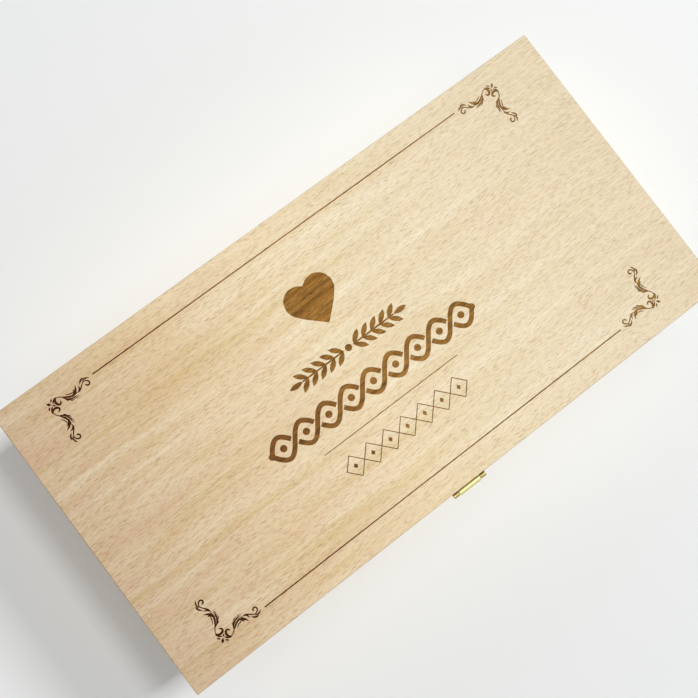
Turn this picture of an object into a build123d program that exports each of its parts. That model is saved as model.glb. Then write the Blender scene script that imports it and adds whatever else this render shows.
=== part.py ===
from build123d import *
from math import asin, degrees
import os

# Wine box for two bottles lying side by side: a finger jointed beech carcass sawn apart into a base
# and a lid, plywood panels pinned over both, two brass butt hinges let into the seam at the back,
# and a snap clasp at the front.
# Millimetres. The origin is the centre of the underside, +X runs along the length,
# -Y points to the clasp and +Z up.

# Carcass
box_length = 360.0
box_width = 180.0
box_height = 100.0
lid_depth = 24.0
wall = 8.0
panel = 4.0
seam_gap = 0.3
corner_ease = 0.6
arris = 0.4
finger_width = 8.0

# Divider between the two bottle bays
divider_thickness = 6.0
divider_drop = 12.0
housing_depth = 3.0
housing_fit = 0.1

# Brads through the panels, of flat wire
brad_width = 1.25
brad_thickness = 1.0
brad_length = 14.0
brad_set = 0.4
brad_fit = 0.05
brad_inset_back = 39.5
brad_inset_front = 58.3
brad_inset_end = 47.4
brads_long_edge = 4
brads_end_edge = 2

# Butt hinges
hinge_length = 30.0
hinge_inset = 50.0
knuckle_radius = 2.0
knuckle_clear = 0.3
knuckle_count = 3
knuckle_gap = 0.2
leaf_thickness = 1.0
leaf_margin = 1.5
mortise_fit = 0.1
hinge_pin_radius = 0.9
pin_fit = 0.05

# Countersunk screws of the hinges
screw_radius = 1.1
screw_head_radius = 2.0
screw_length = 8.0
screw_fit = 0.05
screw_from_end = 7.0
screws_per_leaf = 2

# Flat sides of the hidden shanks of screws and nails, and of their holes
shank_sides = 12

# Clasp plates
clasp_width = 22.0
plate_sheet = 0.6
clasp_corner = 1.5
lid_plate_above_seam = 2.2
base_plate_below_seam = 1.2
base_plate_height = 11.0
eye_above_seam = 15.0
clasp_pin_radius = 0.75
eye_clear = 0.9
eye_wrap_angle = 290.0
ear_length = 3.4
ear_gap = 0.6
ear_jog = 4.0

# Clasp tongue
tongue_sheet = 1.0
strip_clear = 0.3
strip_knee_below_seam = 1.0
strip_bend_below_eye = 4.5
strip_bend_radius = 6.0
lift_below_seam = 10.8
lift_reach = 3.4
lift_drop = 2.0
lift_bend_radius = 2.6
lift_half_width = 6.0
lift_corner = 2.0

# Catch nose on the base plate, and the window that snaps over it
nose_below_seam = 6.0
nose_height = 2.8
nose_tip_height = 0.9
nose_reach = 1.6
nose_width = 6.0
nose_round = 0.35
window_side_gap = 0.6
window_over = 0.8
catch_gap = 0.15
release_gap = 0.3

# Flat headed nails of the clasp
nail_radius = 0.6
nail_length = 6.5
nail_head_radius = 1.3
nail_head_height = 0.6
nail_fit = 0.05
nail_from_side = 2.0

# Places that follow from the sizes
seam = box_height - lid_depth
base_top = seam - seam_gap / 2
lid_bottom = seam + seam_gap / 2
front = -box_width / 2
back = box_width / 2
carcass_height = box_height - 2 * panel
finger_count = 2 * round((carcass_height / finger_width - 1) / 2) + 1
finger = carcass_height / finger_count
leaf_depth = wall - leaf_margin
hinge_y = back + knuckle_radius + knuckle_clear
hinge_x = box_length / 2 - hinge_inset - hinge_length / 2
eye_inner = clasp_pin_radius + pin_fit
eye_middle = eye_inner + tongue_sheet / 2
eye_outer = eye_inner + tongue_sheet
ear_middle = eye_inner + plate_sheet / 2
eye_out = eye_outer + eye_clear
eye_z = seam + eye_above_seam
tongue_width = clasp_width - 2 * ear_length - 2 * ear_gap
strip_out = plate_sheet + strip_clear + tongue_sheet / 2
nose_tip = plate_sheet + nose_reach
nose_bottom = seam - nose_below_seam

# The carcass's outer form, with its upright corners eased, and the alignments of what stands and hangs
stand = (Align.CENTER, Align.CENTER, Align.MIN)
hang = (Align.CENTER, Align.CENTER, Align.MAX)
outer_form = Box(box_length, box_width, box_height, align=stand)
outer_form = chamfer(outer_form.edges().filter_by(Axis.Z), corner_ease)


def block(low, high):
    # Box from its lowest to its highest corner.
    size = [top - bottom for bottom, top in zip(low, high)]
    middle = [(top + bottom) / 2 for bottom, top in zip(low, high)]
    return Pos(*middle) * Box(*size)


def off_front(out, z):
    # Point in the middle of the front, a distance out from the front face.
    return (0, front - out, z)


# Finger jointed boards

def comb_face(length, low, high, first_socket):
    # Side view of a board: every second finger at both ends is a socket for its neighbour.
    # The comb is counted over the whole carcass, so it runs on across the seam.
    face = Pos(0, (low + high) / 2) * Rectangle(length, high - low)
    for number in range(first_socket, finger_count, 2):
        bottom = max(low, panel + number * finger)
        top = min(high, panel + (number + 1) * finger)
        if top > bottom:
            for side in (-1, 1):
                place = Pos(side * (length - wall) / 2, (top + bottom) / 2)
                face -= place * Rectangle(wall, top - bottom)
    return face


def long_board(low, high, inner_y):
    # Front or back board, from the face at inner_y towards -Y.
    face = comb_face(box_length, low, high, first_socket=1)
    return extrude(Plane.XZ.offset(-inner_y) * face, wall) & outer_form


def end_board(low, high, inner_x):
    # Left or right board, from the face at inner_x towards +X.
    face = comb_face(box_width, low, high, first_socket=0)
    return extrude(Plane.YZ.offset(inner_x) * face, wall) & outer_form


# Panels and divider

def panel_board(low):
    # Plywood panel over the whole carcass, its outer face edges eased.
    board = block((-box_length / 2, front, low), (box_length / 2, back, low + panel)) & outer_form
    is_top = low > 0
    outer_face = board.faces().sort_by(Axis.Z)[-1 if is_top else 0]
    return chamfer(outer_face.edges(), arris)


def divider_board():
    reach = box_length / 2 - wall + housing_depth - housing_fit
    low = (-reach, -divider_thickness / 2, panel)
    high = (reach, divider_thickness / 2, base_top - divider_drop)
    return block(low, high)


def housing(side):
    # Stopped groove in an end wall, as high as the divider.
    inner = side * (box_length / 2 - wall)
    deep = inner + side * housing_depth
    half = divider_thickness / 2 + housing_fit
    top = base_top - divider_drop + housing_fit
    return block((min(inner, deep), -half, panel), (max(inner, deep), half, top))


# Brads

def brad_places():
    # Along both long edges and both ends, in the middle of the walls, with the turn of each edge.
    places = []
    for y, inset in ((back - wall / 2, brad_inset_back), (front + wall / 2, brad_inset_front)):
        step = (box_length - 2 * inset) / (brads_long_edge - 1)
        places += [(inset - box_length / 2 + step * n, y, 0) for n in range(brads_long_edge)]
    step = (box_width - 2 * brad_inset_end) / (brads_end_edge - 1)
    for x in (box_length / 2 - wall / 2, wall / 2 - box_length / 2):
        places += [(x, brad_inset_end - box_width / 2 + step * n, 90) for n in range(brads_end_edge)]
    return places


def brads(is_top, fit=0.0):
    # Flat wire brads, set a little below the panel's face. A fit gives their holes, open to that face.
    face = box_height if is_top else 0.0
    tilt = Rot(0, 0, 0) if is_top else Rot(180, 0, 0)
    start = 0.0 if fit else brad_set
    length = brad_set + brad_length + fit - start
    wire = Pos(0, 0, -start) * Box(brad_width + 2 * fit, brad_thickness + 2 * fit, length, align=hang)
    return [Pos(x, y, face) * tilt * Rot(0, 0, turn) * wire for x, y, turn in brad_places()]


def shank(radius, length):
    # Shank of a screw or nail, or the hole for one, hanging from the origin.
    return extrude(RegularPolygon(radius, shank_sides), -length)


# Butt hinges

def screw_head(fit=0.0):
    # Flat on top at the origin, and as deep as the leaf is thick. A fit gives its countersunk hole.
    return Cone(screw_radius + fit, screw_head_radius + fit, leaf_thickness, align=hang)


def screw():
    return screw_head() + shank(screw_radius, screw_length)


def pilot_hole():
    # Hole in the wood for a screw's shank.
    return shank(screw_radius + screw_fit, screw_length + screw_fit)


def screw_frames(middle_x, is_lid):
    # One frame per screw, head towards the seam.
    step = (hinge_length - 2 * screw_from_end) / (screws_per_leaf - 1)
    xs = [middle_x - hinge_length / 2 + screw_from_end + step * n for n in range(screws_per_leaf)]
    y = back - leaf_depth / 2
    if is_lid:
        return [Pos(x, y, lid_bottom) * Rot(180, 0, 0) for x in xs]
    return [Pos(x, y, base_top) for x in xs]


def at_screws(shape, middle_x, is_lid):
    # A screw or the hole for one, at each of a leaf's screw frames.
    return [frame * shape for frame in screw_frames(middle_x, is_lid)]


def hinge_leaf(middle_x, is_lid):
    # Drawn brass profile: a flat leaf that runs into a round bar, bored for the pin, and sawn out
    # square where the other leaf's knuckles turn.
    near = lid_bottom if is_lid else base_top
    far = near + leaf_thickness if is_lid else near - leaf_thickness
    flat = Pos((back - leaf_depth + hinge_y) / 2, (near + far) / 2)
    profile = flat * Rectangle(hinge_y - back + leaf_depth, leaf_thickness)
    profile += Pos(hinge_y, seam) * Circle(knuckle_radius)
    profile -= Pos(hinge_y, seam) * Circle(hinge_pin_radius + pin_fit)
    leaf = extrude(Plane.YZ.offset(middle_x - hinge_length / 2) * profile, hinge_length)
    pitch = hinge_length / knuckle_count
    for number in range(0 if is_lid else 1, knuckle_count, 2):
        x = middle_x - hinge_length / 2 + pitch * (number + 0.5)
        low = (x - (pitch + knuckle_gap) / 2, back, seam - knuckle_radius)
        high = (x + (pitch + knuckle_gap) / 2, hinge_y + knuckle_radius, seam + knuckle_radius)
        leaf -= block(low, high)
    return leaf - at_screws(screw_head(screw_fit), middle_x, is_lid)


def hinge_pin(middle_x):
    return Pos(middle_x, hinge_y, seam) * Rot(0, 90, 0) * Cylinder(hinge_pin_radius, hinge_length)


def mortise(middle_x, is_lid):
    # Pocket in the board's edge, as deep as the leaf is thick and open at the back.
    half = hinge_length / 2 + mortise_fit
    low_z = lid_bottom if is_lid else base_top - leaf_thickness
    low = (middle_x - half, back - leaf_depth - mortise_fit, low_z)
    return block(low, (middle_x + half, back, low_z + leaf_thickness))


# Clasp

def bent_sheet(path, width, sheet):
    # Sheet brass of one thickness, bent along a path in the middle plane of the box.
    section = Plane(origin=path @ 0, x_dir=(1, 0, 0), z_dir=path % 0) * Rectangle(width, sheet)
    return sweep(section, path=path)


def roll_arc(middle_radius, start, size):
    # Middle line of a roll round the pin. Seen from the right end, 0 degrees points to the box.
    return Plane.YZ * CenterArc((front - eye_out, eye_z), middle_radius, start, size)


def plate_outline(low, high):
    # Front view of a clasp plate with rounded corners.
    return Pos(0, (low + high) / 2) * RectangleRounded(clasp_width, high - low, clasp_corner)


def nail(fit=0.0):
    # Flat headed nail, the underside of its head at the origin, pointing along -Z.
    # A fit gives the hole for its shank.
    body = shank(nail_radius + fit, nail_length + fit)
    return body if fit else body + Cylinder(nail_head_radius, nail_head_height, align=stand)


def nails(z, fit=0.0):
    # One nail near each side of a clasp plate, heads against its front.
    x = clasp_width / 2 - nail_from_side
    frames = [Pos(side * x, front - plate_sheet, z) * Rot(90, 0, 0) for side in (-1, 1)]
    return [frame * nail(fit) for frame in frames]


def base_nail_z():
    return seam - base_plate_below_seam - base_plate_height / 2


def lid_nail_z():
    return (seam + lid_plate_above_seam + eye_z - eye_outer) / 2


def base_plate():
    # Plate with a pressed nose: sloped above, so that the tongue rides over it, flat below.
    top = seam - base_plate_below_seam
    outline = plate_outline(top - base_plate_height, top)
    plate = extrude(Plane.XZ.offset(-front) * outline, plate_sheet)
    inside = plate_sheet / 2
    tip_top = nose_bottom + nose_tip_height
    corners = [(inside, nose_bottom), (inside, nose_bottom + nose_height)]
    corners += [(plate_sheet, nose_bottom + nose_height), (nose_tip, tip_top), (nose_tip, nose_bottom)]
    side_view = Polygon(*[(front - out, z) for out, z in corners], align=None)
    tip_corners = side_view.vertices().sort_by(Axis.X)[0:2]
    side_view = fillet(tip_corners, nose_round)
    nose = extrude(Plane.YZ.offset(-nose_width / 2) * side_view, nose_width)
    return plate + nose - nails(base_nail_z(), nail_fit)


def lid_plate():
    # Plate under the eye, with one rolled ear at each end that carries the pin.
    low = seam + lid_plate_above_seam
    high = eye_z - eye_outer - eye_clear
    plate = extrude(Plane.XZ.offset(-front) * plate_outline(low, high), plate_sheet)
    flat = plate_sheet / 2
    ear_line = eye_out - ear_middle
    rise = FilletPolyline(
        off_front(flat, (low + high) / 2),
        off_front(flat, eye_z - ear_jog),
        off_front(ear_line, eye_z - plate_sheet),
        off_front(ear_line, eye_z),
        radius=plate_sheet,
    )
    path = Wire(rise.edges() + roll_arc(ear_middle, 0, eye_wrap_angle).edges())
    ear = bent_sheet(path, ear_length, plate_sheet)
    for side in (-1, 1):
        plate += Pos(side * (clasp_width - ear_length) / 2, 0, 0) * ear
    return plate - nails(lid_nail_z(), nail_fit)


def clasp_pin():
    return Pos(0, front - eye_out, eye_z) * Rot(0, 90, 0) * Cylinder(clasp_pin_radius, clasp_width)


def tongue_outline():
    # Front view of the tongue: full width at the eye, drawn in to the rounded finger lift.
    half = tongue_width / 2
    shoulder = seam - strip_knee_below_seam
    low = seam - lift_below_seam - lift_drop - tongue_sheet
    right = [(lift_half_width, low), (half, shoulder), (half, eye_z + eye_outer)]
    left = [(-x, z) for x, z in reversed(right)]
    outline = Polygon(*right, *left, align=None)
    low_corners = outline.vertices().sort_by(Axis.Y)[0:2]
    return fillet(low_corners, lift_corner)


def tongue_snapped():
    # The tongue as it lies when the window is snapped over the nose.
    lift_z = seam - lift_below_seam
    strip = FilletPolyline(
        off_front(strip_out + lift_reach, lift_z - lift_drop),
        off_front(strip_out, lift_z),
        off_front(strip_out, seam - strip_knee_below_seam),
        off_front(eye_out + eye_middle, eye_z - strip_bend_below_eye),
        off_front(eye_out + eye_middle, eye_z),
        radius=[lift_bend_radius, strip_bend_radius, strip_bend_radius],
    )
    path = Wire(strip.edges() + roll_arc(eye_middle, 180, -eye_wrap_angle).edges())
    tongue = bent_sheet(path, tongue_width, tongue_sheet)
    tongue &= extrude(Plane.XZ * tongue_outline(), box_width)
    half = nose_width / 2 + window_side_gap
    low = (-half, front - nose_tip - tongue_sheet, nose_bottom - catch_gap)
    high = (half, front, nose_bottom + nose_height + window_over)
    return tongue - block(low, high)


def release_angle():
    # Swing that takes the strip's inner face clear of the nose.
    swing = nose_tip + release_gap - (strip_out - tongue_sheet / 2)
    arm = eye_z - nose_bottom - nose_tip_height
    return degrees(asin(swing / arm))


def tongue_released():
    # At rest the tongue hangs just off the nose, so that the lid is free to open.
    hinge = Axis((0, front - eye_out, eye_z), (1, 0, 0))
    return tongue_snapped().rotate(hinge, -release_angle())


# Sub-assemblies

def base_parts():
    holes = brads(False, brad_fit)
    clasp_holes = nails(base_nail_z(), nail_fit)
    parts = {
        "base_front_wall": long_board(panel, base_top, front + wall) - holes - clasp_holes,
        "base_left_wall": end_board(panel, base_top, -box_length / 2) - holes - housing(-1),
        "base_right_wall": end_board(panel, base_top, box_length / 2 - wall) - holes - housing(1),
        "bottom_panel": panel_board(0.0) - holes,
        "bottom_panel_pins": brads(False),
        "divider": divider_board(),
        "clasp_base_plate": base_plate(),
        "clasp_base_nails": nails(base_nail_z()),
    }
    back_wall = long_board(panel, base_top, back) - holes
    for name, middle_x in (("left", -hinge_x), ("right", hinge_x)):
        back_wall -= mortise(middle_x, False)
        back_wall -= at_screws(pilot_hole(), middle_x, False)
        parts[name + "_hinge_base_leaf"] = hinge_leaf(middle_x, False)
        parts[name + "_hinge_base_screws"] = at_screws(screw(), middle_x, False)
        parts[name + "_hinge_pin"] = hinge_pin(middle_x)
    parts["base_back_wall"] = back_wall
    return parts


def lid_parts():
    top = box_height - panel
    holes = brads(True, brad_fit)
    clasp_holes = nails(lid_nail_z(), nail_fit)
    parts = {
        "lid_front_rim": long_board(lid_bottom, top, front + wall) - holes - clasp_holes,
        "lid_left_rim": end_board(lid_bottom, top, -box_length / 2) - holes,
        "lid_right_rim": end_board(lid_bottom, top, box_length / 2 - wall) - holes,
        "top_panel": panel_board(top) - holes,
        "top_panel_pins": brads(True),
        "clasp_lid_plate": lid_plate(),
        "clasp_pin": clasp_pin(),
        "clasp_lid_nails": nails(lid_nail_z()),
    }
    back_rim = long_board(lid_bottom, top, back) - holes
    for name, middle_x in (("left", -hinge_x), ("right", hinge_x)):
        back_rim -= mortise(middle_x, True)
        back_rim -= at_screws(pilot_hole(), middle_x, True)
        parts[name + "_hinge_lid_leaf"] = hinge_leaf(middle_x, True)
        parts[name + "_hinge_lid_screws"] = at_screws(screw(), middle_x, True)
    parts["lid_back_rim"] = back_rim
    return parts


os.makedirs("parts", exist_ok=True)
nodes = {**base_parts(), **lid_parts(), "clasp_tongue": tongue_released()}
for name, shape in nodes.items():
    solids = shape if isinstance(shape, list) else [shape]
    group = Compound([solid for item in solids for solid in item.solids()])
    export_step(group, os.path.join("parts", name + ".step"))

print("finger", round(finger, 3), "x", finger_count)
print("hinge axis", 0, hinge_y, seam)
print("clasp axis", 0, front - eye_out, eye_z, "released by", round(release_angle(), 2))
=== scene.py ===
from math import cos, pi, radians, sin

import bmesh
import bpy
from mathutils import Matrix, Vector
from mathutils.geometry import delaunay_2d_cdt


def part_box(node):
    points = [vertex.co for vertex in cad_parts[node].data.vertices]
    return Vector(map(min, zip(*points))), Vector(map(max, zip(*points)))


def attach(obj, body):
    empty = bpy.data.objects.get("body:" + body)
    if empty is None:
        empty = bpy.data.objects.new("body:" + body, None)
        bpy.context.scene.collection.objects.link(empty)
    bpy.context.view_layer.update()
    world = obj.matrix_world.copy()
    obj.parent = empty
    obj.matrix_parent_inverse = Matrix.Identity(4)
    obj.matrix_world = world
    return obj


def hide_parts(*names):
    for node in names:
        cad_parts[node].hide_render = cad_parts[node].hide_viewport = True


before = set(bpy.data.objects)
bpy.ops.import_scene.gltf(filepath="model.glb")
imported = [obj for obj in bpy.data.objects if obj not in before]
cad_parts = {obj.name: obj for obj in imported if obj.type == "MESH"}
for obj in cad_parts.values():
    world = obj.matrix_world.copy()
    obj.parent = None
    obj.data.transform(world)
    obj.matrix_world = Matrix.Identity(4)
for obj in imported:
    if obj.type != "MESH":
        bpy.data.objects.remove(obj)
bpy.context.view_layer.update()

# Wine box: beech boards, beech plywood panels and brass fittings, with a laser burnt lid.
# The CAD frame is in metres. Sizes below are millimetres, and MM turns them to metres.
MM = 0.001

# Camera, from the four corners of the lid in the photograph
PHOTO_SIZE = 698
FOCAL_PIXELS = 907.7
SENSOR_WIDTH = 36.0
CAMERA_PLACE = (-67.41, -11.25, 587.69)
CAMERA_VIEW = (0.1189, 0.0357, -0.9923)
CAMERA_UP = (0.5945, 0.7979, 0.1000)

# Studio. Each light: name, place, side and watts. Each wall: brightness.
FLOOR_SIZE = 6000.0
LIGHTS = (("lamp", (796.0, 0.0, 2400.0), 340.0, 13.6), ("window", (2000.0, 0.0, 2400.0), 600.0, 36.8),
          ("skylight", (0.0, 0.0, 3200.0), 2400.0, 28.5))
FRONT_WALL, BACK_WALL = 0.9, 1.6

# Beech, in metres. Each size of ray: length, width, spacing along, across and through the board,
# and darkness. Each row of rays starts further along by a part of the spacing, given by ROW_LEAN.
# The middle ply: its height over the panel's underside, and half its thickness.
RAYS = ((0.0052, 0.00028, 0.0080, 0.0006, 0.011, 0.95), (0.0034, 0.00022, 0.0056, 0.0004, 0.006, 0.7))
ROW_LEAN = (0.0, 0.62, 0.38)
MIDDLE_PLY_HEIGHT, MIDDLE_PLY_HALF = 0.002, 0.0008

# Burnt pattern on the lid, placed from the box's middle
BURN_DEPTH = 0.25
FRAME_LEFT, FRAME_RIGHT = -155.5, 148.0
FRAME_FRONT, FRAME_BACK = -77.8, 79.2
SCROLL_SCALE = 1.06
LINE_INSET = 2.3
LINE_GAP = 29.2
LINE_WIDTH = 0.7
MIDDLE_X = -8.7
HEART_POINT_Y = 24.2
UPPER_BAND_Y, UPPER_BAND_LENGTH = 7.1, 79.0
LOWER_BAND_Y, LOWER_BAND_LENGTH, LOWER_BAND_HEIGHT, LOWER_BAND_STROKE = -15.4, 136.0, 16.0, 2.7
RULE_Y, RULE_LENGTH, RULE_WIDTH = -31.6, 90.7, 0.5
CHAIN_Y, CHAIN_LENGTH, CHAIN_HEIGHT = -46.0, 82.0, 13.0
FINE_STROKE = 0.5

# Panels: eased outer edges, and a stopped hole over each set brad
PANEL_EDGE = 0.4
PANEL_CORNER, PANEL_FACE_CORNER = 0.6, 0.25
STOPPING_RADIUS = 0.72
STOPPING_GAP = 0.03
STOPPING_DEPTH = 0.38
BRAD_HALF_WIDTH, BRAD_HALF_THICKNESS = 0.68, 0.55

# Fasteners, in millimetres, with heights over the face that they are driven into
NAIL_PROFILE = ((0.0, 0.6), (0.35, 0.58), (0.7, 0.5), (1.0, 0.36), (1.2, 0.18), (1.3, 0.0), (0.6, 0.0),
                (0.6, -6.2), (0.3, -6.5), (0.0, -6.5))
SCREW_FACE_RADIUS = 1.9
SCREW_PROFILE = ((1.9, 0.0), (2.0, -0.08), (1.1, -1.0), (1.1, -7.2), (0.7, -8.0), (0.0, -8.0))
CROSS_REACH, CROSS_HALF_WIDTH, CROSS_DEPTH = 1.15, 0.24, 0.55
STOPPING_PROFILE = ((0.0, -0.02), (0.5, -0.02), (STOPPING_RADIUS, -0.05), (STOPPING_RADIUS, -0.37),
                    (0.0, -0.37))
STOPPING_SEED, SCREW_SEED, NAIL_SEED = 3, 11, 21
METAL_EDGE = 0.15
PLATE_SHEET = 0.6


# Helpers

def linear(hex_colour):
    """An sRGB hex colour as linear RGBA."""
    channels = [int(hex_colour[i:i + 2], 16) / 255 for i in (1, 3, 5)]
    return [c / 12.92 if c <= 0.04045 else ((c + 0.055) / 1.055) ** 2.4 for c in channels] + [1.0]


def add(tree, kind, inputs=None, stops=None, **settings):
    """Adds a node with its settings. Its inputs take a value, a socket, or a node's first live output.

    stops are the places and colours of a colour ramp.
    """
    node = tree.nodes.new(kind)
    for name, value in settings.items():
        setattr(node, name, value)
    for key, value in (inputs or {}).items():
        if isinstance(value, bpy.types.Node):
            value = next(output for output in value.outputs if not output.is_unavailable)
        if isinstance(value, bpy.types.NodeSocket):
            tree.links.new(value, node.inputs[key])
        else:
            node.inputs[key].default_value = value
    for number, (place, colour) in enumerate(stops or []):
        elements = node.color_ramp.elements
        element = elements[number] if number < len(elements) else elements.new(place)
        element.position = place
        element.color = colour
    return node


def link_object(name, data):
    made = bpy.data.objects.new(name, data)
    bpy.context.scene.collection.objects.link(made)
    return made


# Camera, floor and light

def make_camera():
    data = bpy.data.cameras.new("photo_camera")
    data.sensor_width = SENSOR_WIDTH
    data.lens = FOCAL_PIXELS / PHOTO_SIZE * SENSOR_WIDTH
    data.clip_start = 0.01
    camera = link_object("photo_camera", data)
    back = -Vector(CAMERA_VIEW).normalized()
    right = Vector(CAMERA_UP).cross(back).normalized()
    up = back.cross(right)
    turn = Matrix((right, up, back)).transposed().to_4x4()
    camera.matrix_world = Matrix.Translation(Vector(CAMERA_PLACE) * MM) @ turn
    bpy.context.scene.camera = camera


def make_studio():
    """Matt white floor, a lamp and a window high off the right end, a skylight, and pale walls low down.

    Metal mirrors a plain white room instead of the walls.
    """
    half = FLOOR_SIZE / 2 * MM
    mesh = bpy.data.meshes.new("floor")
    mesh.from_pydata([(-half, -half, 0), (half, -half, 0), (half, half, 0), (-half, half, 0)], [],
                     [(0, 1, 2, 3)])
    floor = link_object("floor", mesh)
    paper = bpy.data.materials.new("matt_paper")
    paper.use_nodes = True
    shader = paper.node_tree.nodes["Principled BSDF"]
    shader.inputs["Base Color"].default_value = linear("#F3F5F5")
    shader.inputs["Roughness"].default_value = 0.9
    mesh.materials.append(paper)

    for name, place, size, power in LIGHTS:
        data = bpy.data.lights.new(name, "AREA")
        data.shape = "SQUARE"
        data.size = size * MM
        data.energy = power
        place = Vector(place) * MM
        turn = place.to_track_quat("Z", "Y").to_matrix().to_4x4()
        link_object(name, data).matrix_world = Matrix.Translation(place) @ turn

    world = bpy.data.worlds.new("pale_room")
    world.use_nodes = True
    tree = world.node_tree
    tree.nodes.clear()
    rays = add(tree, "ShaderNodeLightPath").outputs
    seen = add(tree, "ShaderNodeMath", {0: rays["Is Camera Ray"], 1: rays["Is Glossy Ray"]},
               operation="MAXIMUM")
    seen = add(tree, "ShaderNodeMath", {0: seen, 1: rays["Is Transmission Ray"]}, operation="MAXIMUM")
    place = add(tree, "ShaderNodeTexCoord")
    height = add(tree, "ShaderNodeSeparateXYZ", {0: place.outputs["Generated"]})
    wall = add(tree, "ShaderNodeMapRange", {"Value": height.outputs["Y"], "From Min": -1.0, "From Max": 1.0,
                                            "To Min": FRONT_WALL, "To Max": BACK_WALL})
    room = add(tree, "ShaderNodeMapRange", {"Value": height.outputs["Z"], "From Min": 0.0, "From Max": 0.7,
                                            "To Min": wall, "To Max": 0.0})
    strength = add(tree, "ShaderNodeMix", {0: seen, 2: room, 3: 1.0}, data_type="FLOAT")
    light = add(tree, "ShaderNodeBackground", {"Color": linear("#FFFFFF"), "Strength": strength})
    add(tree, "ShaderNodeOutputWorld", {"Surface": light})
    bpy.context.scene.world = world
    bpy.context.scene.view_settings.view_transform = "Standard"


# Wood

def beech(name, grain, across, through, plies=None, burnt=False):
    """Sanded, unfinished European beech.

    It is pale straw to pinkish tan, matt, with soft bands along the grain. Its rays are ribbons that
    run deep into the board: they show as short dark spindles on the wide face, 3 to 5 mm long and
    about 0.3 mm wide. The whole box is pinker and darker towards its left end.
    grain, across and through name the axes along the grain, across it in the wide face, and through
    the board. plies is the height of a plywood panel's underside, in metres. Burnt beech is scorched
    brown by an engraving laser, and its rays char darkest. The burn is drawn lighter towards the right
    end, partly as painted light where the lid is lit more strongly.
    """
    material = bpy.data.materials.new(name)
    material.use_nodes = True
    tree = material.node_tree
    shader = tree.nodes["Principled BSDF"]
    place = add(tree, "ShaderNodeTexCoord")
    axes = add(tree, "ShaderNodeSeparateXYZ", {0: place.outputs["Object"]})
    facing = add(tree, "ShaderNodeSeparateXYZ", {0: place.outputs["Normal"]})

    # The grain wanders a little across the board.
    board = add(tree, "ShaderNodeCombineXYZ", {0: axes.outputs[grain], 1: axes.outputs[across],
                                               2: axes.outputs[through]})
    slow = add(tree, "ShaderNodeMapping", {"Vector": board, "Scale": (1 / 0.10, 1 / 0.045, 1 / 0.045)})
    wander = add(tree, "ShaderNodeTexNoise", {"Vector": slow, "Scale": 1.0, "Detail": 1.0})
    drift = add(tree, "ShaderNodeMapRange", {"Value": wander, "To Min": -0.004, "To Max": 0.004})
    shift = add(tree, "ShaderNodeCombineXYZ", {1: drift})
    board = add(tree, "ShaderNodeVectorMath", {0: board, 1: shift}, operation="ADD")

    # Soft growth bands, broad and narrow: the dark ones are yellower. They fade towards the right end.
    across_box = add(tree, "ShaderNodeMapRange",
                     {"Value": axes.outputs["X"], "From Min": -0.18, "From Max": 0.18})
    broad = add(tree, "ShaderNodeMapping", {"Vector": board, "Scale": (1 / 0.16, 1 / 0.009, 1 / 0.009)})
    broad = add(tree, "ShaderNodeTexNoise", {"Vector": broad, "Scale": 1.0, "Detail": 3.0, "Roughness": 0.6})
    narrow = add(tree, "ShaderNodeMapping", {"Vector": board, "Scale": (1 / 0.045, 1 / 0.0018, 1 / 0.0018)})
    narrow = add(tree, "ShaderNodeTexNoise",
                 {"Vector": narrow, "Scale": 1.0, "Detail": 3.0, "Roughness": 0.6})
    bands = add(tree, "ShaderNodeMix", {0: 0.35, 2: broad, 3: narrow}, data_type="FLOAT")
    strong = add(tree, "ShaderNodeMapRange", {"Value": across_box, "To Min": 4.6, "To Max": 0.6})
    bands = add(tree, "ShaderNodeMath", {0: bands, 1: 0.5}, operation="SUBTRACT")
    tone = add(tree, "ShaderNodeMath", {0: bands, 1: strong, 2: 0.5}, operation="MULTIPLY_ADD",
               use_clamp=True)
    colour = add(tree, "ShaderNodeMix", {0: tone, 6: linear("#E3CB9C"), 7: linear("#F9EBD0")},
                 data_type="RGBA")

    # Pinker patches, and a pinker and darker left end. The darkening towards the left end is partly the
    # wood's own tone and partly painted shade, for the light falling off towards the left.
    blush = add(tree, "ShaderNodeMapping", {"Vector": board, "Scale": (1 / 0.07, 1 / 0.013, 1 / 0.013),
                                            "Location": (3.1, 1.7, 0.4)})
    blush = add(tree, "ShaderNodeTexNoise", {"Vector": blush, "Scale": 1.0, "Detail": 2.0})
    most = add(tree, "ShaderNodeMapRange",
               {"Value": across_box, "From Max": 0.6, "To Min": 0.9, "To Max": 0.25})
    pink = add(tree, "ShaderNodeMapRange", {"Value": blush, "From Min": 0.4, "From Max": 0.7, "To Max": most})
    colour = add(tree, "ShaderNodeMix", {0: pink, 6: colour, 7: linear("#ECD0B0")}, data_type="RGBA")
    left_end_tone_and_shade = add(tree, "ShaderNodeValToRGB", {0: across_box},
              stops=((0.0, linear("#E0D7CF")), (0.25, linear("#F4EDE2")), (0.45, linear("#FFFFF8")),
                     (0.75, linear("#FAFCFD")), (1.0, linear("#EFF0EF"))))
    colour = add(tree, "ShaderNodeVectorMath", {0: colour, 1: left_end_tone_and_shade}, operation="MULTIPLY")
    # Towards the right end, hair-fine lines take the place of the bands.
    hair = add(tree, "ShaderNodeMapping", {"Vector": board, "Scale": (1 / 0.012, 1 / 0.0006, 1 / 0.0006)})
    hair = add(tree, "ShaderNodeTexNoise", {"Vector": hair, "Scale": 1.0, "Detail": 1.0})
    hair = add(tree, "ShaderNodeMath", {0: hair, 1: 0.5}, operation="SUBTRACT")
    amount = add(tree, "ShaderNodeMapRange", {"Value": across_box, "From Min": 0.3, "To Max": 0.32})
    hair = add(tree, "ShaderNodeMath", {0: hair, 1: amount, 2: 1.0}, operation="MULTIPLY_ADD")
    colour = add(tree, "ShaderNodeVectorMath", {0: colour, 1: hair}, operation="MULTIPLY")
    if burnt:
        fine = add(tree, "ShaderNodeMapRange",
                   {"Value": narrow, "From Min": 0.3, "From Max": 0.7, "To Min": 0.6, "To Max": 1.3})
        colour = add(tree, "ShaderNodeVectorMath", {0: colour, 1: fine}, operation="MULTIPLY")

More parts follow.
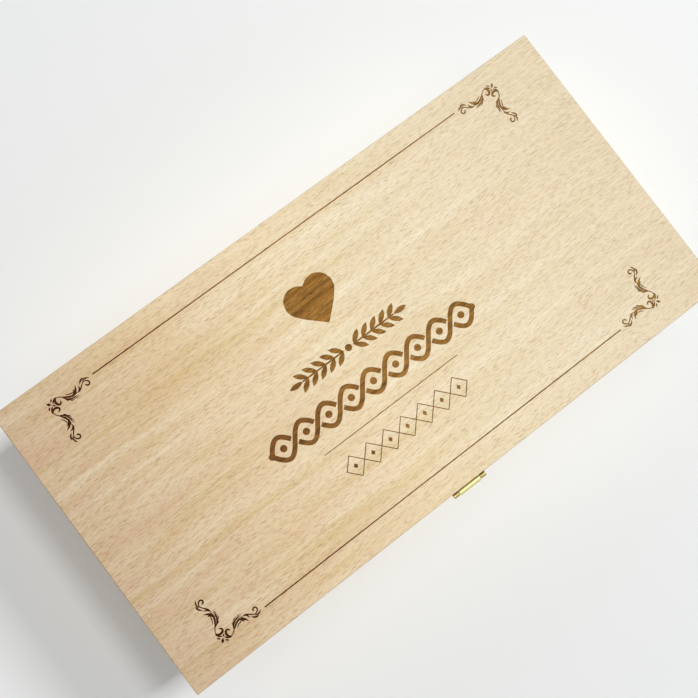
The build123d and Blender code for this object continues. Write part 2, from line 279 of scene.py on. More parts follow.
    # Ray spindles, in rows that start unevenly, so that they don't stand in columns.
    dark = None
    for number, (length, width, along, apart, deep, depth) in enumerate(RAYS):
        cells = add(tree, "ShaderNodeMapping", {"Vector": board, "Location": (number * 7.3, number * 2.9, 0),
                                                "Scale": (1 / along, 1 / apart, 1 / deep)})
        lean = add(tree, "ShaderNodeVectorMath", {0: cells, 1: ROW_LEAN}, operation="DOT_PRODUCT")
        lean = add(tree, "ShaderNodeCombineXYZ", {0: lean.outputs["Value"]})
        cells = add(tree, "ShaderNodeVectorMath", {0: cells, 1: lean}, operation="ADD")
        ray = add(tree, "ShaderNodeTexVoronoi", {"Vector": cells, "Scale": 1.0, "Randomness": 1.0})
        off = add(tree, "ShaderNodeVectorMath", {0: cells, 1: ray.outputs["Position"]}, operation="SUBTRACT")
        lean = add(tree, "ShaderNodeVectorMath", {0: off, 1: ROW_LEAN}, operation="DOT_PRODUCT")
        lean = add(tree, "ShaderNodeCombineXYZ", {0: lean.outputs["Value"]})
        off = add(tree, "ShaderNodeVectorMath", {0: off, 1: lean}, operation="SUBTRACT")
        off = add(tree, "ShaderNodeVectorMath", {0: off, 1: (2 * along / length, 2 * apart / width, 0.9)},
                  operation="MULTIPLY")
        reach = add(tree, "ShaderNodeVectorMath", {0: off}, operation="LENGTH")
        mark = add(tree, "ShaderNodeMapRange",
                   {"Value": reach.outputs["Value"], "From Min": 1.05, "From Max": 0.35},
                   interpolation_type="SMOOTHSTEP")
        chance = add(tree, "ShaderNodeSeparateColor", {0: ray.outputs["Color"]})
        kept = add(tree, "ShaderNodeMapRange", {"Value": chance, "From Min": 0.1,
                                                "From Max": 0.5 if burnt else 0.9, "To Max": depth})
        mark = add(tree, "ShaderNodeMath", {0: mark, 1: kept}, operation="MULTIPLY")
        dark = mark if dark is None else add(tree, "ShaderNodeMath", {0: dark, 1: mark}, operation="MAXIMUM")
    faint = add(tree, "ShaderNodeMapRange", {"Value": across_box, "To Min": 1.0, "To Max": 0.8})
    dark = add(tree, "ShaderNodeMath", {0: dark, 1: faint}, operation="MULTIPLY")
    # A board's narrow edges cut the ribbons lengthwise, as wide, faint flakes.
    flat = add(tree, "ShaderNodeMath", {0: facing.outputs[through]}, operation="ABSOLUTE")
    flake = add(tree, "ShaderNodeMapRange", {"Value": flat, "To Min": 0.3})
    dark = add(tree, "ShaderNodeMath", {0: dark, 1: flake}, operation="MULTIPLY")
    stain = "#4C2C14" if burnt else "#BA9468"
    stain = add(tree, "ShaderNodeMix", {0: dark, 6: linear("#FFFFFF"), 7: linear(stain)}, data_type="RGBA")
    colour = add(tree, "ShaderNodeVectorMath", {0: colour, 1: stain}, operation="MULTIPLY")

    # End grain: darker and browner, with growth rings and pores. The pores are drawn about four times
    # too wide, so that they show.
    rings = add(tree, "ShaderNodeMapping", {"Vector": board, "Scale": (1 / 0.2, 1 / 0.03, 1 / 0.0022)})
    rings = add(tree, "ShaderNodeTexNoise", {"Vector": rings, "Scale": 1.0, "Detail": 2.0})
    pores = add(tree, "ShaderNodeMapping", {"Vector": board, "Scale": (1 / 0.004, 1 / 0.00025, 1 / 0.00025)})
    pores = add(tree, "ShaderNodeTexNoise", {"Vector": pores, "Scale": 1.0, "Detail": 2.0})
    grained = add(tree, "ShaderNodeMapRange", {"Value": rings, "From Min": 0.3, "From Max": 0.7})
    end = add(tree, "ShaderNodeMix", {0: grained, 6: linear("#BC9268"), 7: linear("#D6B287")},
              data_type="RGBA")
    speck = add(tree, "ShaderNodeMapRange",
                {"Value": pores, "From Min": 0.35, "From Max": 0.65, "To Min": 0.82, "To Max": 1.06})
    end = add(tree, "ShaderNodeVectorMath", {0: end, 1: speck}, operation="MULTIPLY")
    # The end grain is darkened towards the left end in the same way: partly its own tone, partly painted
    # shade.
    end = add(tree, "ShaderNodeVectorMath", {0: end, 1: left_end_tone_and_shade}, operation="MULTIPLY")
    sideways = add(tree, "ShaderNodeMath", {0: facing.outputs[grain]}, operation="ABSOLUTE")
    if plies is not None:
        # The middle ply's grain runs across, so its end shows where the outer plies' long grain does.
        level = add(tree, "ShaderNodeMath", {0: axes.outputs[through], 1: plies}, operation="SUBTRACT")
        inner = add(tree, "ShaderNodeMath", {0: level, 1: MIDDLE_PLY_HEIGHT, 2: MIDDLE_PLY_HALF},
                    operation="COMPARE")
        other = add(tree, "ShaderNodeMath", {0: facing.outputs[across]}, operation="ABSOLUTE")
        sideways = add(tree, "ShaderNodeMix", {0: inner, 2: sideways, 3: other}, data_type="FLOAT")
        # Painted shade: the rounded arris is darkened in colour where it turns away from the light, but not
        # the upright edge.
        painted_arris_shade = add(tree, "ShaderNodeMapRange", {"Value": flat, "From Min": 0.98, "From Max": 0.75})
        rounded = add(tree, "ShaderNodeMath", {0: flat, 1: 0.1}, operation="GREATER_THAN")
        painted_arris_shade = add(tree, "ShaderNodeMath", {0: painted_arris_shade, 1: rounded}, operation="MULTIPLY")
        painted_arris_shade = add(tree, "ShaderNodeMix", {0: painted_arris_shade, 6: linear("#FFFFFF"), 7: linear("#B39673")},
                   data_type="RGBA")
        colour = add(tree, "ShaderNodeVectorMath", {0: colour, 1: painted_arris_shade}, operation="MULTIPLY")
    # Painted shade: towards the left end, the darker end-grain colour covers more of the arris, standing in
    # for the shade on the side that faces away from the lamps.
    left_arris_shade_reach = add(tree, "ShaderNodeMapRange", {"Value": across_box, "To Min": 0.1, "To Max": 0.4})
    end_grain_and_shaded_arris = add(tree, "ShaderNodeMath", {0: sideways, 1: left_arris_shade_reach}, operation="GREATER_THAN")
    colour = add(tree, "ShaderNodeMix", {0: end_grain_and_shaded_arris, 6: colour, 7: end}, data_type="RGBA")
    # Partly painted light: the burn colour is lighter towards the right end, where the lid is lit more
    # strongly.
    if burnt:
        scorch_and_painted_light = add(tree, "ShaderNodeValToRGB", {0: across_box},
                     stops=((0.08, linear("#5C320A")), (0.33, linear("#98744C")), (0.47, linear("#AC864F")),
                            (0.85, linear("#AE8A52"))))
        colour = add(tree, "ShaderNodeVectorMath", {0: colour, 1: scorch_and_painted_light}, operation="MULTIPLY")

    relief = add(tree, "ShaderNodeMath", {0: dark, 1: -1.0}, operation="MULTIPLY")
    relief = add(tree, "ShaderNodeMath", {0: pores, 1: 0.25, 2: relief}, operation="MULTIPLY_ADD")
    bump = add(tree, "ShaderNodeBump", {"Height": relief, "Strength": 0.35, "Distance": 0.00006})
    rough = add(tree, "ShaderNodeMapRange", {"Value": dark, "To Min": 0.82 if burnt else 0.52, "To Max": 0.9})
    tree.links.new(colour.outputs[0 if burnt else 2], shader.inputs["Base Color"])
    tree.links.new(rough.outputs[0], shader.inputs["Roughness"])
    tree.links.new(bump.outputs[0], shader.inputs["Normal"])
    shader.inputs["Specular IOR Level"].default_value = 0.12 if burnt else 0.4
    return material


def wood_stopping():
    """Pale wood filler, pressed over a set brad and sanded flush: chalky, and lighter than the beech."""
    material = bpy.data.materials.new("pale_wood_stopping")
    material.use_nodes = True
    tree = material.node_tree
    shader = tree.nodes["Principled BSDF"]
    place = add(tree, "ShaderNodeTexCoord")
    batch = add(tree, "ShaderNodeTexNoise", {"Vector": place.outputs["Object"], "Scale": 23.0, "Detail": 0.0})
    grit = add(tree, "ShaderNodeTexNoise",
               {"Vector": place.outputs["Object"], "Scale": 4000.0, "Detail": 2.0})
    paleness = add(tree, "ShaderNodeMapRange", {"Value": batch, "From Min": 0.4, "From Max": 0.6})
    colour = add(tree, "ShaderNodeMix", {0: paleness, 6: linear("#D6BB95"), 7: linear("#E0C9A3")},
                 data_type="RGBA")
    speck = add(tree, "ShaderNodeMapRange", {"Value": grit, "To Min": 0.93, "To Max": 1.05})
    colour = add(tree, "ShaderNodeVectorMath", {0: colour, 1: speck}, operation="MULTIPLY")
    tree.links.new(colour.outputs[0], shader.inputs["Base Color"])
    shader.inputs["Roughness"].default_value = 0.85
    return material


# Metal

def pressed_brass(name, bright, dull, smoothest, roughest):
    """Pressed brass: yellow, with faint rolling lines along the box and cloudy tarnish.

    The lines are drawn coarser than real ones, so that they show. bright and dull are the clean and the
    tarnished colour. Where hands rub it, brass is cleaner and smoother.
    """
    material = bpy.data.materials.new(name)
    material.use_nodes = True
    tree = material.node_tree
    shader = tree.nodes["Principled BSDF"]
    place = add(tree, "ShaderNodeTexCoord")
    cloud = add(tree, "ShaderNodeTexNoise",
                {"Vector": place.outputs["Object"], "Scale": 420.0, "Detail": 3.0})
    rolled = add(tree, "ShaderNodeMapping", {"Vector": place.outputs["Object"],
                                             "Scale": (1 / 0.008, 1 / 0.0002, 1 / 0.0002)})
    rolled = add(tree, "ShaderNodeTexNoise", {"Vector": rolled, "Scale": 1.0, "Detail": 2.0})
    tarnish = add(tree, "ShaderNodeMapRange",
                  {"Value": cloud, "From Min": 0.4, "From Max": 0.75, "To Max": 0.6})
    colour = add(tree, "ShaderNodeMix", {0: tarnish, 6: linear(bright), 7: linear(dull)}, data_type="RGBA")
    rough = add(tree, "ShaderNodeMapRange", {"Value": cloud, "From Min": 0.3, "From Max": 0.75,
                                             "To Min": smoothest, "To Max": roughest})
    bump = add(tree, "ShaderNodeBump", {"Height": rolled, "Strength": 0.12, "Distance": 0.00003})
    tree.links.new(colour.outputs[2], shader.inputs["Base Color"])
    tree.links.new(rough.outputs[0], shader.inputs["Roughness"])
    tree.links.new(bump.outputs[0], shader.inputs["Normal"])
    shader.inputs["Metallic"].default_value = 1.0
    return material


def drawn_steel():
    """Drawn steel wire: grey and satin, a little uneven in tone."""
    material = bpy.data.materials.new("drawn_steel_wire")
    material.use_nodes = True
    tree = material.node_tree
    shader = tree.nodes["Principled BSDF"]
    place = add(tree, "ShaderNodeTexCoord")
    cloud = add(tree, "ShaderNodeTexNoise",
                {"Vector": place.outputs["Object"], "Scale": 3000.0, "Detail": 2.0})
    colour = add(tree, "ShaderNodeMix", {0: cloud, 6: linear("#9C9B98"), 7: linear("#C4C3BF")},
                 data_type="RGBA")
    tree.links.new(colour.outputs[2], shader.inputs["Base Color"])
    shader.inputs["Metallic"].default_value = 1.0
    shader.inputs["Roughness"].default_value = 0.32
    return material


# Outlines of the burnt pattern, in millimetres on the lid

def smooth_line(points, steps=5):
    """Catmull-Rom line through points."""
    knots = [Vector(p) for p in points]
    knots = [2 * knots[0] - knots[1]] + knots + [2 * knots[-1] - knots[-2]]
    line = []
    for a, b, c, d in zip(knots, knots[1:], knots[2:], knots[3:]):
        for step in range(steps):
            t = step / steps
            line.append(0.5 * (2 * b + (c - a) * t + (2 * a - 5 * b + 4 * c - d) * t ** 2
                               + (3 * b - a - 3 * c + d) * t ** 3))
    return line + [knots[-2]]


def brush(line, widths):
    """Outline of a stroke along a line, with widths at even steps from its start to its end."""
    left, right = [], []
    last = len(line) - 1
    for number, point in enumerate(line):
        ahead = line[min(number + 1, last)] - line[max(number - 1, 0)]
        out = Vector((-ahead.y, ahead.x)).normalized()
        place = number / last * (len(widths) - 1)
        low = min(int(place), len(widths) - 2)
        half = (widths[low] + (widths[low + 1] - widths[low]) * (place - low)) / 2
        left.append(point + out * half)
        right.append(point - out * half)
    return left + right[::-1]


def stroke(points, widths):
    return brush(smooth_line(points), widths)


def disc(x, y, radius, sides=20):
    return [Vector((x + radius * cos(2 * pi * n / sides), y + radius * sin(2 * pi * n / sides)))
            for n in range(sides)]


def bar(x0, x1, y, width):
    return [Vector(p) for p in ((x0, y - width / 2), (x1, y - width / 2), (x1, y + width / 2),
                                (x0, y + width / 2))]


def corner_scroll():
    """Traditional acanthus corner: one arm, its mirror image, and the bud between them.

    The corner is at the lower left. The arm runs along +X.
    """
    tip = 0.12
    arm = [
        stroke([(3.1, 1.6), (3.8, 0.8), (4.6, 0.1)], [tip, 0.85, 0.75, tip]),
        stroke([(3.5, 3.0), (4.3, 2.0), (5.4, 1.2), (6.7, 0.7)], [tip, 0.7, 0.95, 0.8, tip]),
        stroke([(6.6, 0.9), (5.5, 1.9), (5.1, 3.1), (5.4, 4.2), (6.3, 4.9), (7.2, 4.5), (7.5, 3.6)],
               [0.45, 0.95, 1.3, 1.25, 1.0, 0.85, 0.5]),
        stroke([(6.5, 1.2), (7.9, 1.6), (9.2, 2.6), (10.4, 3.8)], [0.45, 0.45, 0.55, 0.9]),
        stroke([(9.3, 3.1), (10.4, 4.6), (12.0, 5.8), (14.0, 6.3), (16.0, 6.1)], [0.3, 0.8, 0.9, 0.7, tip]),
        stroke([(9.6, 2.8), (10.9, 3.8), (12.4, 4.7), (14.2, 5.1), (16.0, 5.3)], [0.3, 0.9, 1.1, 0.8, 0.3]),
        stroke([(9.7, 4.0), (10.4, 5.4), (11.5, 6.1)], [tip, 0.6, tip]),
        stroke([(11.2, 5.9), (12.3, 6.8), (13.8, 7.0)], [tip, 0.6, tip]),
        stroke([(13.6, 6.7), (15.0, 7.0), (16.6, 6.6)], [tip, 0.5, tip]),
        stroke([(11.0, 2.2), (12.3, 3.2), (13.7, 3.7), (15.0, 3.9)], [tip, 0.5, 0.6, 0.3]),
        stroke([(13.2, 5.4), (15.1, 4.7), (16.6, 3.4), (17.6, 1.5)], [0.8, 1.6, 1.1, tip]),
        stroke([(14.7, 4.7), (15.4, 3.7), (15.5, 2.6)], [0.6, 0.85, tip]),
        stroke([(16.0, 5.0), (17.5, 5.3), (18.9, 4.6), (20.2, 3.5), (21.6, 2.6), (22.9, 2.6), (24.0, 3.5),
                (24.2, 4.6), (23.4, 5.3), (22.4, 5.0), (22.1, 4.1)],
               [0.3, 0.6, 0.75, 0.6, 0.55, 0.6, 0.75, 0.8, 0.8, 0.85, 0.7]),
        stroke([(17.2, 5.2), (18.4, 4.2), (18.9, 2.5)], [0.45, 0.95, tip]),
        stroke([(19.5, 2.7), (20.7, 1.5), (22.0, 0.9), (23.1, 1.0)], [tip, 0.9, 0.95, tip]),
        stroke([(21.6, 2.0), (22.9, 1.6), (24.1, 1.8), (25.4, 2.6)], [0.4, 0.8, 0.85, tip]),
    ]
    bud = [Vector(p) for p in ((0.8, 0.8), (2.3, 1.2), (3.0, 3.0), (1.2, 2.3))]
    heel = [Vector(p) for p in ((3.0, 3.6), (3.6, 3.0), (4.4, 3.9), (3.9, 4.4))]
    outlines = arm + [[p.yx for p in outline] for outline in arm] + [bud, heel]
    return [[p * SCROLL_SCALE for p in outline] for outline in outlines]


def heart(x, y):
    """Plain heart, its point at (x, y): round lobes that meet in a notch, and straight lower sides."""
    half = smooth_line([(0.0, 24.4), (1.3, 25.5), (3.6, 26.8), (7.0, 27.3), (9.2, 27.0), (11.4, 25.8),
                        (13.8, 23.4), (15.1, 19.3), (14.7, 16.2), (13.8, 14.1), (11.3, 10.9), (8.8, 8.1)], 4)
    return ([Vector((x + p.x, y + p.y)) for p in half] + [Vector((x, y))]
            + [Vector((x - p.x, y + p.y)) for p in half[:0:-1]])


def leaf(x, y, angle, length, width):
    """Pointed oval leaf from its foot."""
    along = Vector((cos(angle), sin(angle)))
    foot = Vector((x, y))
    line = [foot + along * length * n / 8 for n in range(9)]
    return brush(line, [0.1, 0.75 * width, width, 0.8 * width, 0.1])


def laurel(x, y, length):
    """Two laurel sprigs that run out from a round berry in the middle."""
    pairs, first, size = 5, 3.4, 8.6
    berry, stem, leaf_width, spread = 2.0, 0.9, 3.0, radians(40)
    outlines = [disc(x, y, berry)]
    pitch = (length / 2 - first - size) / (pairs - 0.35)
    for side in (-1, 1):
        outlines.append(bar(*sorted((x + side * first, x + side * (length / 2 - size))), y, stem))
        for number in range(pairs):
            foot = x + side * (first + pitch * number)
            for up in (-1, 1):
                turn = up * spread if side > 0 else pi - up * spread
                outlines.append(leaf(foot, y, turn, size, leaf_width))
        outlines.append(leaf(x + side * (length / 2 - size), y, 0 if side > 0 else pi, size, leaf_width))
    return outlines


def braid(x, y, length, height, width):
    """Bold guilloche: two waved strands that pass over and under each other, with a bead in each eye."""
    eyes = 9
    pitch = length / eyes
    rise = (height - width) / 2
    steps = 14
    cut = 0.085
    bead, end_bead = 2.0, 1.9
    outlines = [disc(x + side * length / 2, y, end_bead) for side in (-1, 1)]
    for side in (-1, 1):
        ends = [0.0]
        for crossing in range(1 if side > 0 else 2, eyes, 2):
            ends += [crossing - cut, crossing + cut]
        ends.append(float(eyes))
        for start, end in zip(ends[::2], ends[1::2]):
            count = max(2, round((end - start) * steps))
            run = [start + (end - start) * n / count for n in range(count + 1)]
            line = [Vector((x - length / 2 + t * pitch, y + side * rise * sin(pi * t))) for t in run]
            outlines.append(brush(line, [width, width]))
    outlines += [disc(x - length / 2 + (n + 0.5) * pitch, y, bead) for n in range(eyes)]
    return outlines


def lozenge_chain(x, y, length, height):
    """Fine line: two zigzags that cross, with a small diamond in each lozenge."""
    count = 7
    pitch = length / count
    across, up = 1.3, 1.6
    outlines = []
    for side in (-1, 1):
        line = [Vector((x - length / 2 + n * pitch / 2, y + side * height / 2 * (n % 2)))
                for n in range(2 * count + 1)]
        for a, b in zip(line, line[1:]):
            outlines.append(brush([a, b], [FINE_STROKE, FINE_STROKE]))
    for number in range(count):
        middle = x - length / 2 + (number + 0.5) * pitch
        outlines.append([Vector(p) for p in ((middle - across, y), (middle, y - up), (middle + across, y),
                                             (middle, y + up))])
    return outlines


def burnt_pattern():
    outlines = []
    for side_x, edge_x in ((1, FRAME_LEFT), (-1, FRAME_RIGHT)):
        for side_y, edge_y in ((1, FRAME_FRONT), (-1, FRAME_BACK)):
            for outline in corner_scroll():
                outlines.append([Vector((edge_x + side_x * p.x, edge_y + side_y * p.y)) for p in outline])
    for y in (FRAME_FRONT + LINE_INSET, FRAME_BACK - LINE_INSET):
        outlines.append(bar(FRAME_LEFT + LINE_GAP, FRAME_RIGHT - LINE_GAP, y, LINE_WIDTH))
    outlines.append(heart(MIDDLE_X, HEART_POINT_Y))
    outlines += laurel(MIDDLE_X, UPPER_BAND_Y, UPPER_BAND_LENGTH)
    outlines += braid(MIDDLE_X, LOWER_BAND_Y, LOWER_BAND_LENGTH, LOWER_BAND_HEIGHT, LOWER_BAND_STROKE)
    outlines.append(bar(MIDDLE_X - RULE_LENGTH / 2, MIDDLE_X + RULE_LENGTH / 2, RULE_Y, RULE_WIDTH))
    outlines += lozenge_chain(MIDDLE_X, CHAIN_Y, CHAIN_LENGTH, CHAIN_HEIGHT)
    return outlines


# Building meshes

def counter_clockwise(outline):
    area = sum(a.x * b.y - b.x * a.y for a, b in zip(outline, outline[1:] + outline[:1]))
    return outline if area > 0 else outline[::-1]


def triangulate(outlines):
    """Splits the plane along the outlines. Gives the corners, the triangles, and the outlines round each."""
    points, faces = [], []
    for outline in outlines:
        start = len(points)
        points += counter_clockwise(outline)
        faces.append(list(range(start, len(points))))
    corners, _, triangles, _, _, inside = delaunay_2d_cdt(points, [], faces, 1, 1e-5, True)
    return corners, triangles, inside


def rounded_rectangle(width, depth, radius, steps=4):
    outline = []
    for turn, (x, y) in enumerate(((1, 1), (-1, 1), (-1, -1), (1, -1))):
        for step in range(steps + 1):
            angle = pi / 2 * (turn + step / steps)
            outline.append(Vector((x * (width / 2 - radius) + radius * cos(angle),
                                   y * (depth / 2 - radius) + radius * sin(angle))))
    return outline


def solid_boxes(node):
    """Lowest and highest corner of each separate solid of a CAD node, in millimetres."""
    mesh = bmesh.new()
    mesh.from_mesh(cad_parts[node].data)
    bmesh.ops.remove_doubles(mesh, verts=mesh.verts, dist=1e-6)
    left = set(mesh.verts)
    boxes = []
    while left:
        group, queue = [], [left.pop()]
        while queue:
            vert = queue.pop()
            group.append(vert.co / MM)
            near = {edge.other_vert(vert) for edge in vert.link_edges} & left
            left -= near
            queue += near
        boxes.append([Vector(map(pick, zip(*group))) for pick in (min, max)])
    mesh.free()
    return sorted(boxes, key=lambda box: box[0].to_tuple(2))


def middles(nodes):
    """Middle of each solid of some CAD nodes, in millimetres."""
    return [(low + high) / 2 for node in nodes for low, high in solid_boxes(node)]


def add_face(shape, points, material_index=0):
    face = shape.faces.new([shape.verts.new(point) for point in points])
    face.material_index = material_index


def sink_faces(shape, outlines, depths, through=None):
    """Flat face at height 0, sunk inside each outline to its depth, with upright walls.

    The first outline bounds the face. The deepest one round a point counts, and a depth of through
    leaves a hole. What is sunk by BURN_DEPTH takes the second material.
    """
    corners, triangles, inside = triangulate(outlines)
    level_by_edge = {}
    for triangle, within in zip(triangles, inside):
        level = max(depths[n] for n in within)
        for a, b in zip(triangle, triangle[1:] + triangle[:1]):
            level_by_edge[(a, b)] = level
        if level != through:
            add_face(shape, [(*corners[n], -level) for n in triangle], int(level == BURN_DEPTH))
    for (a, b), level in level_by_edge.items():
        other = level_by_edge.get((b, a), 0.0)
        if other > level:
            add_face(shape, [(*corners[a], -level), (*corners[a], -other), (*corners[b], -other),
                             (*corners[b], -level)], int(other == BURN_DEPTH))


def turned(shape, profile, sides=32):
    """Turned form round the Z axis, from its profile of radius and height. It starts at the top."""
    for (r0, z0), (r1, z1) in zip(profile, profile[1:]):
        for side in range(sides):
            a, b = 2 * pi * side / sides, 2 * pi * (side + 1) / sides
            ring = [(r0 * cos(a), r0 * sin(a), z0), (r1 * cos(a), r1 * sin(a), z1),
                    (r1 * cos(b), r1 * sin(b), z1), (r0 * cos(b), r0 * sin(b), z0)]
            if r0 == 0:
                ring.pop()
            elif r1 == 0:
                ring.pop(2)
            add_face(shape, ring)


def finish_shape(shape, name, place, materials, smooth_angle=0):
    """Joins touching corners, moves a shape made in millimetres to its place, and makes its object."""
    bmesh.ops.remove_doubles(shape, verts=shape.verts, dist=1e-4)
    shape.transform(Matrix.Scale(MM, 4) @ place)
    mesh = bpy.data.meshes.new(name)
    shape.to_mesh(mesh)
    shape.free()
    for material in materials:
        mesh.materials.append(material)
    if smooth_angle:
        mesh.shade_smooth()
        mesh.set_sharp_from_angle(angle=radians(smooth_angle))
    return link_object(name, mesh)


def stand_for(piece, body, nodes):
    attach(piece, body)
    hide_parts(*nodes)


# Panels

def make_panel(name, node, brads, body, place, pattern, materials):
    """Plywood panel with eased edges, a hole and a stopped recess for each brad, and a burnt pattern.

    It is built face up, with the face at height 0, and then placed.
    """
    low, high = (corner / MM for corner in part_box(node))
    size = high - low
    outer = rounded_rectangle(size.x, size.y, PANEL_CORNER)
    inset = rounded_rectangle(size.x - 2 * PANEL_EDGE, size.y - 2 * PANEL_EDGE, PANEL_FACE_CORNER)
    recesses, holes = [], []
    for first, last in solid_boxes(brads):
        x, y = (first + last).xy / 2
        w, t = BRAD_HALF_WIDTH, BRAD_HALF_THICKNESS
        if last.x - first.x < last.y - first.y:
            w, t = t, w
        recesses.append(disc(x, y, STOPPING_RADIUS + STOPPING_GAP))
        holes.append([Vector((x + i * w, y + j * t)) for i, j in ((-1, -1), (1, -1), (1, 1), (-1, 1))])
    shape = bmesh.new()
    depths = ([0.0] + [BURN_DEPTH] * len(pattern) + [STOPPING_DEPTH] * len(recesses) + [size.z] * len(holes))
    sink_faces(shape, [inset] + pattern + recesses + holes, depths, size.z)

    rings = []
    for angle in (0, 30, 60, 90):
        depth = PANEL_EDGE * (1 - cos(radians(angle)))
        rings.append([(*p.lerp(q, sin(radians(angle))), -depth) for p, q in zip(inset, outer)])
    rings.append([(*p, -size.z) for p in outer])
    for upper, lower in zip(rings, rings[1:]):
        for n in range(-1, len(upper) - 1):
            add_face(shape, (upper[n], lower[n], lower[n + 1], upper[n + 1]))
    corners, triangles, inside = triangulate([outer] + holes)
    for triangle, within in zip(triangles, inside):
        if max(within) == 0:
            add_face(shape, [(*corners[n], -size.z) for n in reversed(triangle)])
    stand_for(finish_shape(shape, name, place, materials), body, [node])


# Fasteners and stoppings, placed by Geometry Nodes

def placing_tree():
    """A copy of one piece at every point, each with its own turn about its axis."""
    tree = bpy.data.node_groups.new("place_pieces", "GeometryNodeTree")
    for name, kind in (("Places", "Geometry"), ("Piece", "Object"), ("Most Turn", "Float"), ("Seed", "Int"),
                       ("Material", "Material")):
        tree.interface.new_socket(name, in_out="INPUT", socket_type="NodeSocket" + kind)
    tree.interface.new_socket("Pieces", in_out="OUTPUT", socket_type="NodeSocketGeometry")
    given = add(tree, "NodeGroupInput").outputs
    piece = add(tree, "GeometryNodeObjectInfo", {"Object": given["Piece"]})
    turn = add(tree, "FunctionNodeRandomValue", {3: given["Most Turn"], "Seed": given["Seed"]},
               data_type="FLOAT")
    turn = add(tree, "ShaderNodeCombineXYZ", {2: turn})
    copies = add(tree, "GeometryNodeInstanceOnPoints", {"Points": given["Places"], "Rotation": turn,
                                                        "Instance": piece.outputs["Geometry"]})
    copies = add(tree, "GeometryNodeRealizeInstances", {0: copies})
    copies = add(tree, "GeometryNodeSetMaterial", {0: copies, "Material": given["Material"]})
    add(tree, "NodeGroupOutput", {0: copies})
    return tree


def place_pieces(tree, name, piece, spots, place, most_turn, seed, material, body):
    """One plain mesh of all copies. The spots are in millimetres on the face that they stand on."""
    host_mesh = bpy.data.meshes.new(name)
    host_mesh.from_pydata([(x, y, 0) for x, y in spots], [], [])
    host = link_object(name, host_mesh)
    modifier = host.modifiers.new("place_pieces", "NODES")
    modifier.node_group = tree
    values = {"Piece": piece, "Most Turn": most_turn, "Seed": seed, "Material": material}
    for item in tree.interface.items_tree:
        if item.in_out == "INPUT" and item.name in values:
            modifier[item.identifier] = values[item.name]
    placed = bpy.data.meshes.new_from_object(host.evaluated_get(bpy.context.evaluated_depsgraph_get()))
    host.modifiers.remove(modifier)
    placed.transform(Matrix.Scale(MM, 4) @ place)
    host.data = placed
    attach(host, body)
    return host


def cross_outline(reach, half_width):
    """Outline of a screw's cross recess."""
    arm = [(half_width, half_width), (reach, half_width), (reach, -half_width)]
    outline = []
    for _ in range(4):
        outline += [Vector(p) for p in arm]
        arm = [(y, -x) for x, y in arm]
    return outline


def pattern_piece(name, profile, face_outlines=(), face_depths=()):
    """Piece to copy, in millimetres, standing upright on its origin."""
    shape = bmesh.new()
    if face_outlines:
        sink_faces(shape, face_outlines, face_depths)
    turned(shape, profile)
    return finish_shape(shape, name, Matrix.Scale(1 / MM, 4), (), 35)


# Metal pieces that keep their CAD form

def ease_metal(nodes, body, material):
    """Replaces CAD nodes by copies with eased edges and smooth curves."""
    for node in nodes:
        shape = bmesh.new()
        shape.from_mesh(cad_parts[node].data)
        shape.transform(Matrix.Scale(1 / MM, 4))
        bmesh.ops.remove_doubles(shape, verts=shape.verts, dist=1e-4)
        bmesh.ops.dissolve_limit(shape, angle_limit=radians(1), verts=shape.verts, edges=shape.edges)
        sharp = [edge for edge in shape.edges if edge.is_manifold and edge.calc_face_angle() > radians(30)]
        bmesh.ops.bevel(shape, geom=sharp, offset=METAL_EDGE, offset_type="OFFSET", segments=2, profile=0.5,
                        affect="EDGES", clamp_overlap=True)
        piece = finish_shape(shape, node + "_eased", Matrix(), (material,), 40)
        even = piece.modifiers.new("even_shading", "WEIGHTED_NORMAL")
        even.keep_sharp = True
        stand_for(piece, body, [node])


# The box

make_camera()
make_studio()

box_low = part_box("bottom_panel")[0]
lid_low, lid_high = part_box("top_panel")
long_beech = beech("sanded_beech_long_boards", "X", "Z", "Y")
end_beech = beech("sanded_beech_end_boards", "Y", "Z", "X")
lid_plywood = beech("sanded_beech_plywood_lid", "X", "Y", "Z", lid_low.z)
base_plywood = beech("sanded_beech_plywood_base", "X", "Y", "Z", box_low.z)
divider_plywood = beech("sanded_beech_divider", "X", "Z", "Y")
burn = beech("laser_burnt_beech_plywood", "X", "Y", "Z", burnt=True)
stopping = wood_stopping()
# The tongue's brass is brighter than the other fittings': the darker brass is partly tarnish and partly
# painted shade, for the darker reflections in the clasp's ears.
rubbed_brass = pressed_brass("rubbed_bright_brass", "#DED292", "#C4B46E", 0.26, 0.4)
brass = pressed_brass("tarnished_and_shaded_brass", "#B4A06A", "#8A784A", 0.32, 0.5)
steel = drawn_steel()

finishes = {
    "base_front_wall": long_beech, "base_back_wall": long_beech,
    "lid_front_rim": long_beech, "lid_back_rim": long_beech,
    "base_left_wall": end_beech, "base_right_wall": end_beech,
    "lid_left_rim": end_beech, "lid_right_rim": end_beech,
    "bottom_panel": base_plywood, "top_panel": lid_plywood, "divider": divider_plywood,
    "bottom_panel_pins": steel, "top_panel_pins": steel,
    "left_hinge_pin": steel, "right_hinge_pin": steel, "clasp_tongue": rubbed_brass,
}
for node_name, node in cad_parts.items():
    node.data.materials.clear()
    node.data.materials.append(finishes.get(node_name, brass))

# Frames of the faces that panels and fasteners sit in: up, down, and out to the front
facing_down = Matrix.Diagonal((1, -1, -1, 1))
facing_front = Matrix(((1, 0, 0, 0), (0, 0, -1, 0), (0, 1, 0, 0), (0, 0, 0, 1)))
lid_face = Matrix.Translation((0, 0, lid_high.z / MM))
base_face = Matrix.Translation((0, 0, box_low.z / MM)) @ facing_down

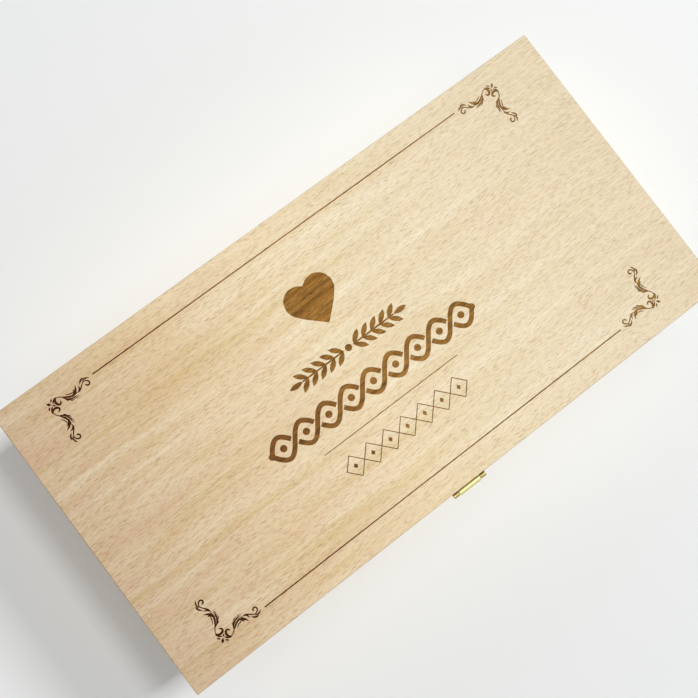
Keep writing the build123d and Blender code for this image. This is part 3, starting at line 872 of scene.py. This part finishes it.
make_panel("lid_engraved_panel", "top_panel", "top_panel_pins", "lid", lid_face, burnt_pattern(),
           (lid_plywood, burn))
make_panel("base_stopped_panel", "bottom_panel", "bottom_panel_pins", "base", base_face, [], (base_plywood,))

tree = placing_tree()
screw = pattern_piece("cross_head_screw", SCREW_PROFILE,
                      (disc(0, 0, SCREW_FACE_RADIUS, 32), cross_outline(CROSS_REACH, CROSS_HALF_WIDTH)),
                      (0.0, CROSS_DEPTH))
nail = pattern_piece("domed_nail", NAIL_PROFILE)
plug = pattern_piece("pressed_stopping", STOPPING_PROFILE)

for seed, (body, brads, place, side) in enumerate((("lid", "top_panel_pins", lid_face, 1),
                                                   ("base", "bottom_panel_pins", base_face, -1))):
    place_pieces(tree, body + "_stoppings", plug, [(p.x, side * p.y) for p in middles([brads])], place,
                 2 * pi, seed + STOPPING_SEED, stopping, body)

for seed, (body, turn, side) in enumerate((("base", Matrix(), 1), ("lid", facing_down, -1))):
    nodes = ["left_hinge_" + body + "_screws", "right_hinge_" + body + "_screws"]
    low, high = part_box(nodes[0])
    face = (high if side > 0 else low).z / MM
    screws = place_pieces(tree, body + "_hinge_cross_screws", screw,
                          [(p.x, side * p.y) for p in middles(nodes)],
                          Matrix.Translation((0, 0, face)) @ turn, 2 * pi, seed + SCREW_SEED, brass, body)
    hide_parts(*nodes)
    nodes = ["clasp_" + body + "_nails"]
    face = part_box("clasp_" + body + "_plate")[1].y / MM - PLATE_SHEET
    nails = place_pieces(tree, body + "_clasp_domed_nails", nail, [(p.x, p.z) for p in middles(nodes)],
                         Matrix.Translation((0, face, 0)) @ facing_front, 2 * pi, seed + NAIL_SEED, brass,
                         body)
    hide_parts(*nodes)
for piece in (screw, nail, plug):
    bpy.data.objects.remove(piece)

ease_metal(["left_hinge_base_leaf", "right_hinge_base_leaf", "clasp_base_plate"], "base",
           brass)
ease_metal(["left_hinge_lid_leaf", "right_hinge_lid_leaf", "clasp_lid_plate", "clasp_pin"], "lid",
           brass)
ease_metal(["clasp_tongue"], "clasp_tongue", rubbed_brass)
ease_metal(["left_hinge_pin", "right_hinge_pin"], "base", steel)
